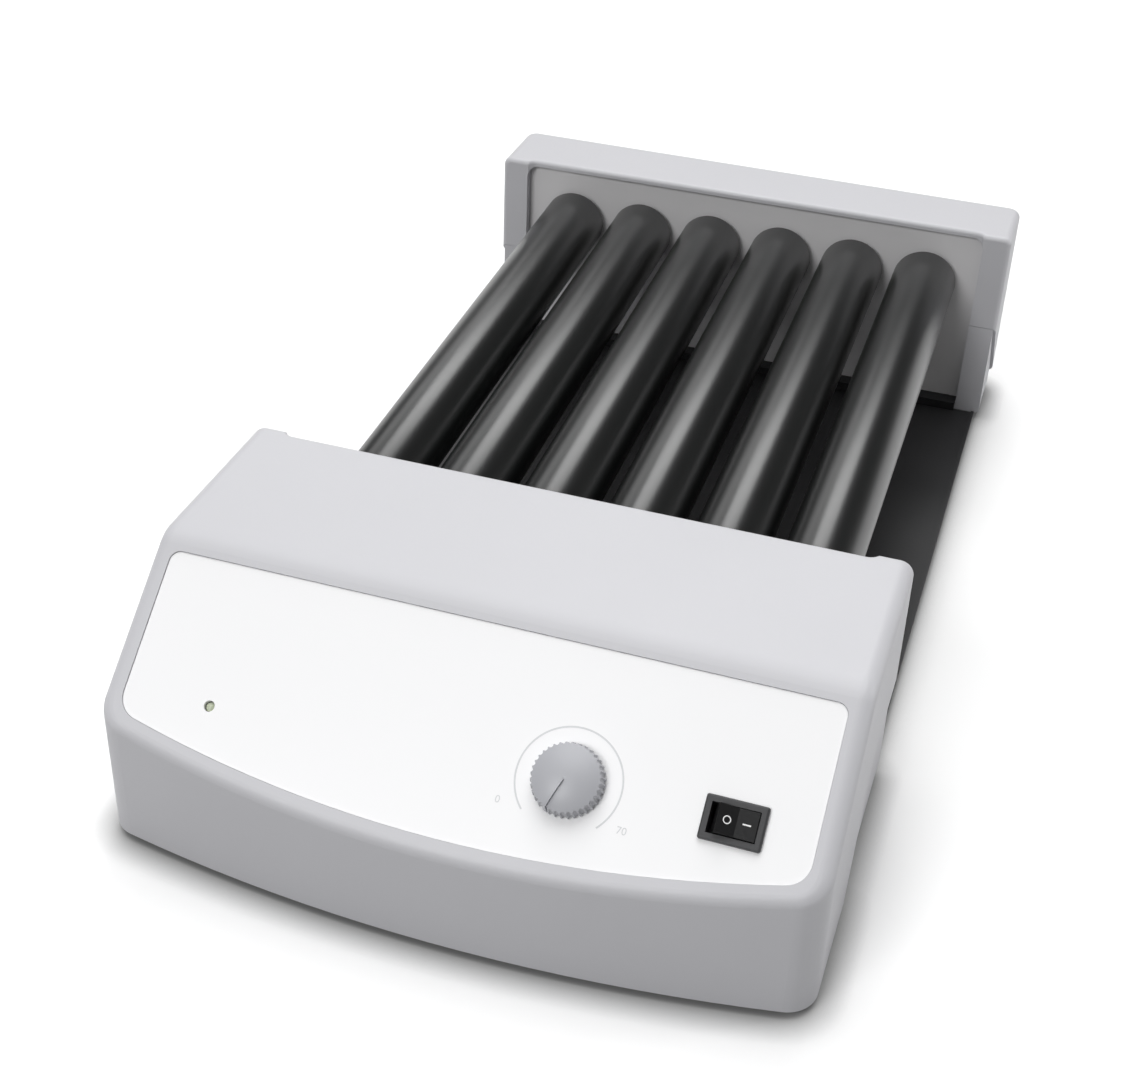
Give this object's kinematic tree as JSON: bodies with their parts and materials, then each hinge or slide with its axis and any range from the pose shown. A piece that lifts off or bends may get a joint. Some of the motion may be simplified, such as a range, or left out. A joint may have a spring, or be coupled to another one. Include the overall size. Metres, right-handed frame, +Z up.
{
  "type": "tube roller mixer",
  "caption": "Bench tube mixer with a sloped front panel, a rear end housing and a bed of skewed rubber rollers between them that roll and rock capped tubes.",
  "frame": {"origin": "on the floor, under the middle of the box round the whole machine", "axes": "+X to the right seen from the control panel, +Y from the control panel to the rear housing, along the rollers, +Z up"},
  "size_m": [0.262, 0.471, 0.1005],
  "materials": {
    "cover_plastic": "fine moulded grain, light grey",
    "base_plastic": "fine moulded grain, light grey",
    "panel_white": "smooth printed front sheet, white",
    "plate_paint": "powder coat, pale grey",
    "tray_paint": "powder coat, dark grey",
    "bush_bronze": "sintered bronze",
    "steel": "plain steel",
    "motor_can": "zinc plated can",
    "foot_rubber": "matt black rubber",
    "pot_metal": "plated control body",
    "led_lens": "diffuse pale green lens",
    "switch_black": "satin black",
    "rocker_black": "smooth black",
    "inlet_black": "matt black",
    "board_laminate": "green solder mask",
    "board_parts": "dark moulded components",
    "nylon": "natural nylon",
    "gear_nylon": "natural acetal",
    "knob_grey": "satin light grey",
    "roller_rubber": "satin charcoal rubber",
    "core_aluminium": "drawn tube"
  },
  "bodies": {
    "frame": {"front_cover": "cover_plastic", "front_base": "base_plastic", "front_panel": "panel_white", "front_end_plate": "plate_paint", "rear_cover": "cover_plastic", "rear_base": "base_plastic", "rear_end_plate": "plate_paint", "chassis_tray": "tray_paint", "roller_bushes": "bush_bronze", "idler_axles": "steel", "motor_bracket": "steel", "gear_motor": "motor_can", "motor_screws": "steel", "frame_screws": "steel", "cover_screws": "steel", "rubber_feet": "foot_rubber", "potentiometer_body": "pot_metal", "potentiometer_nut": "steel", "power_led": "led_lens", "switch_housing": "switch_black", "inlet_socket": "inlet_black", "inlet_pins": "steel", "board_standoffs": "nylon", "control_board": "board_laminate", "board_components": "board_parts"},
    "roller_1": {"roller_1_sleeve": "roller_rubber", "roller_1_core": "core_aluminium", "roller_1_end_caps": "steel", "roller_1_gear": "gear_nylon"},
    "roller_2": {"roller_2_sleeve": "roller_rubber", "roller_2_core": "core_aluminium", "roller_2_end_caps": "steel", "roller_2_gear": "gear_nylon"},
    "roller_3": {"roller_3_sleeve": "roller_rubber", "roller_3_core": "core_aluminium", "roller_3_end_caps": "steel", "roller_3_gear": "gear_nylon"},
    "roller_4": {"roller_4_sleeve": "roller_rubber", "roller_4_core": "core_aluminium", "roller_4_end_caps": "steel", "roller_4_gear": "gear_nylon"},
    "roller_5": {"roller_5_sleeve": "roller_rubber", "roller_5_core": "core_aluminium", "roller_5_end_caps": "steel", "roller_5_gear": "gear_nylon"},
    "roller_6": {"roller_6_sleeve": "roller_rubber", "roller_6_core": "core_aluminium", "roller_6_end_caps": "steel", "roller_6_gear": "gear_nylon"},
    "idler_1": {"idler_gear_1": "gear_nylon"},
    "idler_2": {"idler_gear_2": "gear_nylon"},
    "idler_3": {"idler_gear_3": "gear_nylon"},
    "idler_4": {"idler_gear_4": "gear_nylon"},
    "idler_5": {"idler_gear_5": "gear_nylon"},
    "motor_rotor": {"motor_shaft": "steel", "motor_pinion": "gear_nylon"},
    "knob": {"speed_knob": "knob_grey", "potentiometer_shaft": "pot_metal"},
    "rocker": {"power_rocker": "rocker_black"}
  },
  "joints": [
    {"name": "roller_1_spin", "type": "hinge", "parent": "frame", "child": "roller_1", "pos_m": [-0.0915, 0.0525, 0.0665], "axis": [0, 1, 0], "continuous": true},
    {"name": "roller_2_spin", "type": "hinge", "parent": "frame", "child": "roller_2", "pos_m": [-0.0549, 0.0525, 0.0665], "axis": [0, 1, 0], "continuous": true},
    {"name": "roller_3_spin", "type": "hinge", "parent": "frame", "child": "roller_3", "pos_m": [-0.0183, 0.0525, 0.0665], "axis": [0, 1, 0], "continuous": true},
    {"name": "roller_4_spin", "type": "hinge", "parent": "frame", "child": "roller_4", "pos_m": [0.0183, 0.0525, 0.0665], "axis": [0, 1, 0], "continuous": true},
    {"name": "roller_5_spin", "type": "hinge", "parent": "frame", "child": "roller_5", "pos_m": [0.0549, 0.0525, 0.0665], "axis": [0, 1, 0], "continuous": true},
    {"name": "roller_6_spin", "type": "hinge", "parent": "frame", "child": "roller_6", "pos_m": [0.0915, 0.0525, 0.0665], "axis": [0, 1, 0], "continuous": true},
    {"name": "idler_1_spin", "type": "hinge", "parent": "frame", "child": "idler_1", "pos_m": [-0.0732, -0.1025, 0.0665], "axis": [0, 1, 0], "continuous": true},
    {"name": "idler_2_spin", "type": "hinge", "parent": "frame", "child": "idler_2", "pos_m": [-0.0366, -0.1025, 0.0665], "axis": [0, 1, 0], "continuous": true},
    {"name": "idler_3_spin", "type": "hinge", "parent": "frame", "child": "idler_3", "pos_m": [0, -0.1025, 0.0665], "axis": [0, 1, 0], "continuous": true},
    {"name": "idler_4_spin", "type": "hinge", "parent": "frame", "child": "idler_4", "pos_m": [0.0366, -0.1025, 0.0665], "axis": [0, 1, 0], "continuous": true},
    {"name": "idler_5_spin", "type": "hinge", "parent": "frame", "child": "idler_5", "pos_m": [0.0732, -0.1025, 0.0665], "axis": [0, 1, 0], "continuous": true},
    {"name": "motor_spin", "type": "hinge", "parent": "frame", "child": "motor_rotor", "pos_m": [0.0183, -0.1025, 0.0482], "axis": [0, 1, 0], "continuous": true},
    {"name": "knob_turn", "type": "hinge", "parent": "frame", "child": "knob", "pos_m": [0.03925, -0.20805, 0.06723], "axis": [0, 0.6205, -0.7842], "range_deg": [0, 292]},
    {"name": "rocker_tilt", "type": "hinge", "parent": "frame", "child": "rocker", "pos_m": [0.0954, -0.207, 0.06526], "axis": [0, -0.7842, -0.6205], "range_deg": [0, 28]}
  ],
  "couplings": [
    {"joint": "roller_2_spin", "follows": "roller_1_spin", "ratio": 1},
    {"joint": "roller_3_spin", "follows": "roller_1_spin", "ratio": 1},
    {"joint": "roller_4_spin", "follows": "roller_1_spin", "ratio": 1},
    {"joint": "roller_5_spin", "follows": "roller_1_spin", "ratio": 1},
    {"joint": "roller_6_spin", "follows": "roller_1_spin", "ratio": 1},
    {"joint": "idler_1_spin", "follows": "roller_1_spin", "ratio": -1.25},
    {"joint": "idler_2_spin", "follows": "roller_1_spin", "ratio": -1.25},
    {"joint": "idler_3_spin", "follows": "roller_1_spin", "ratio": -1.25},
    {"joint": "idler_4_spin", "follows": "roller_1_spin", "ratio": -1.25},
    {"joint": "idler_5_spin", "follows": "roller_1_spin", "ratio": -1.25},
    {"joint": "motor_spin", "follows": "roller_1_spin", "ratio": -1.25}
  ]
}
